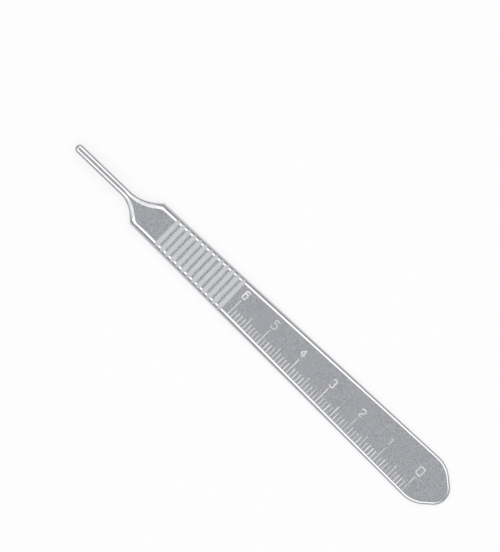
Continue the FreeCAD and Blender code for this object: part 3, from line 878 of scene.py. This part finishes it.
def figure_lines():
    """All the paths as edges in the ruler's frame, each figure over its centimetre mark."""
    points, edges = [], []
    for number, (figure, height) in enumerate(zip(FIGURES, FIGURE_HEIGHTS)):
        for layer, (path, closed) in enumerate(figure):
            first = len(points)
            lift = layer * STROKE_STEP
            points += [Vector((x - number * FIGURE_PITCH, y + height, lift)) * MM for x, y in path]
            edges += [(i, i + 1) for i in range(first, len(points) - 1)]
            if closed:
                edges.append((len(points) - 1, first))
    mesh = bpy.data.meshes.new("figure_lines")
    mesh.from_pydata(points, edges, [])
    return mesh


stroke_values = {"Width": STROKE_WIDTH * MM, "Depth": MARK_DEPTH * MM, "Corner": CORNER_RADIUS * MM}
stroke_values["Finish"] = ETCHED
strokes = run_tree("strokes", STROKE_TREE, stroke_values, figure_lines(), RULER_PLACE)
around = [(TIP, -BUTT_WIDTH, 0), (BUTT, -BUTT_WIDTH, 0), (BUTT, BUTT_WIDTH, 0), (TIP, BUTT_WIDTH, 0)]
figures = prism("figures", around, (0, 0, 2 * NECK_THICKNESS), ETCHED)
cut(figures, strokes, operation="INTERSECT", solver="EXACT")
cut(handle, figures)

# %% [markdown]
# ## Finishing the piece
#
# The cuts leave some points double and every face flat. Merging the doubles closes the seams. Then the
# faces are shaded smooth, apart from edges that turn by more than ten degrees, such as the lips of the
# grooves.

# %% Merging and shading
SHARP_ANGLE = math.radians(10)
DOUBLE_DISTANCE = 0.0005
SPECK_SIZE = 0.0002


def finish_surface(piece):
    """Merges double points and marks the sharp edges."""
    bm = bmesh.new()
    bm.from_mesh(piece.data)
    bmesh.ops.remove_doubles(bm, verts=bm.verts, dist=DOUBLE_DISTANCE * MM)
    bmesh.ops.dissolve_degenerate(bm, dist=SPECK_SIZE * MM, edges=bm.edges)
    for face in bm.faces:
        face.smooth = True
    for edge in bm.edges:
        edge.smooth = len(edge.link_faces) == 2 and edge.calc_face_angle(0) < SHARP_ANGLE
    open_edges = sum(len(edge.link_faces) != 2 for edge in bm.edges)
    triangles = sum(len(face.verts) - 2 for face in bm.faces)
    volume = bm.calc_volume() / MM**3
    print(f"{piece.name}: {triangles} triangles, {open_edges} open edges, {volume:.0f} cubic mm")
    bm.to_mesh(piece.data)
    bm.free()


finish_surface(handle)
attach(handle, "root")
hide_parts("handle")

# %% [markdown]
# ## The stage
#
# The handle lies on a plain pale floor. Polished steel shows what is round it, so the lamps are chosen for
# their reflections: two long softboxes hang beside the line of sight, one over each long edge, and draw a
# white line along each rounded edge. The gap between them is what the flats mirror, and that keeps them
# grey, together with the painted shade in the flats' darker colour.
#
# The floor is nearly white because of its material, not because of more light. The Light Path node tells
# which ray hits it: rays from the camera, from mirrors and through glass see mostly plain white, and all
# others see matt paint. The share that is left to the paint keeps the handle's soft shadow.

# %% The floor
# Lengths on the stage are in metres.
FLOOR_SIZE = 4.0
FLOOR_PAINT = "#F6F6F6"
FLOOR_ROUGHNESS = 0.9
WHITE_SHARE = 0.8
# The floor lies a hundredth of a millimetre low, because two faces in one plane would flicker.
FLOOR_GAP = 0.01 * MM


def pale_floor():
    """A matt floor that looks nearly white and is clear from below."""
    material = bpy.data.materials.new("pale_floor")
    material.use_nodes = True
    tree = material.node_tree
    shader = tree.nodes["Principled BSDF"]
    shader.inputs["Base Color"].default_value = paint(FLOOR_PAINT)
    shader.inputs["Roughness"].default_value = FLOOR_ROUGHNESS
    ray = add_node(tree, "ShaderNodeLightPath").outputs
    seen = ray["Is Camera Ray"]
    for kind in ("Is Glossy Ray", "Is Transmission Ray"):
        total = add_node(tree, "ShaderNodeMath", {"operation": "ADD"}, {0: seen, 1: ray[kind]})
        seen = total.outputs["Value"]
    share = add_node(tree, "ShaderNodeMath", {"operation": "MULTIPLY", 1: WHITE_SHARE}, {0: seen})
    white = add_node(tree, "ShaderNodeEmission", {"Color": paint("#FFFFFF"), "Strength": 1.0})
    both = add_node(
        tree,
        "ShaderNodeMixShader",
        links={0: share.outputs["Value"], 1: shader.outputs["BSDF"], 2: white.outputs["Emission"]},
    )
    side = add_node(tree, "ShaderNodeNewGeometry").outputs["Backfacing"]
    clear = add_node(tree, "ShaderNodeBsdfTransparent").outputs["BSDF"]
    one_sided = add_node(
        tree,
        "ShaderNodeMixShader",
        links={0: side, 1: both.outputs["Shader"], 2: clear},
    )
    tree.links.new(one_sided.outputs["Shader"], tree.nodes["Material Output"].inputs["Surface"])
    return material


def lay_floor():
    """The floor, as part of the stage."""
    half = FLOOR_SIZE / 2
    mesh = bpy.data.meshes.new("floor")
    corners = [(-half, -half), (half, -half), (half, half), (-half, half)]
    mesh.from_pydata([(x, y, -FLOOR_GAP) for x, y in corners], [], [(0, 1, 2, 3)])
    mesh.materials.append(pale_floor())
    floor = bpy.data.objects.new("floor", mesh)
    scene.collection.objects.link(floor)


lay_floor()
print(f"floor {FLOOR_SIZE:.0f} m wide, {WHITE_SHARE:.0%} plain white to the camera")

# %% The lamps
LAMP_DISTANCE = 0.6
LAMP_LENGTH = 0.7
# The softbox covers these angles, counted from straight up.
LAMP_FROM, LAMP_TO = math.radians(4), math.radians(39)
# How bright a softbox looks, where 1 is white.
LAMP_RADIANCE = 1.45


def hang_softbox(name, side):
    """A softbox that covers a band of the sky over one long edge, and faces the handle."""
    tilt = (LAMP_FROM + LAMP_TO) / 2
    spread = (LAMP_TO - LAMP_FROM) / 2
    lamp = bpy.data.lights.new(name, "AREA")
    lamp.shape = "RECTANGLE"
    lamp.size = LAMP_LENGTH
    lamp.size_y = 2 * LAMP_DISTANCE * math.sin(spread)
    lamp.energy = LAMP_RADIANCE * math.pi * lamp.size * lamp.size_y
    box = bpy.data.objects.new(name, lamp)
    away = LAMP_DISTANCE * math.cos(spread)
    box.location = (0, side * away * math.sin(tilt), away * math.cos(tilt))
    box.rotation_euler = (-side * tilt, 0, 0)
    box.visible_camera = False
    scene.collection.objects.link(box)
    print(f"{name}: {lamp.size:.2f} by {lamp.size_y:.2f} m, {lamp.energy:.2f} W")


hang_softbox("softbox_plain_side", 1)
hang_softbox("softbox_ruler_side", -1)

# %% The room
ROOM_GREY = "#BABABA"


def light_room():
    """Even light grey walls all round."""
    world = bpy.data.worlds.new("room")
    world.use_nodes = True
    world.node_tree.nodes["Background"].inputs["Color"].default_value = paint(ROOM_GREY)
    scene.world = world


light_room()
scene.view_settings.view_transform = "Standard"
print(f"room {ROOM_GREY}, view transform {scene.view_settings.view_transform}")

# %% [markdown]
# ## The camera
#
# The photograph looks straight down on the handle, which lies across the frame from the upper left to the
# lower right. A long lens from a metre away keeps the sides out of sight, as in the photograph. Its focal
# length follows from how much the frame covers at the level of the top face.

# %% The camera
# The camera's height over the top face is in metres, and the other lengths are in millimetres.
CAMERA_HEIGHT = 1.0
CAMERA_TURN = math.radians(43.8)
FRAME_HEIGHT = 133.66
CAMERA_OFFSET = (-9.82, 6.35)
SENSOR = 36.0


def place_camera():
    """The camera, looking straight down."""
    data = bpy.data.cameras.new("camera")
    data.sensor_width = SENSOR
    top = top_height(0) * MM
    data.lens = SENSOR * CAMERA_HEIGHT / (FRAME_HEIGHT * MM)
    camera = bpy.data.objects.new("camera", data)
    camera.location = (*(Vector(CAMERA_OFFSET) * MM), top + CAMERA_HEIGHT)
    camera.rotation_euler = (0, 0, CAMERA_TURN)
    scene.collection.objects.link(camera)
    scene.camera = camera
    print(f"camera {CAMERA_HEIGHT} m up, lens {data.lens:.0f} mm")


place_camera()

# %% [markdown]
# ## The last update
#
# Last, the view layer is brought up to date.

# %% Bringing the view layer up to date
bpy.context.view_layer.update()
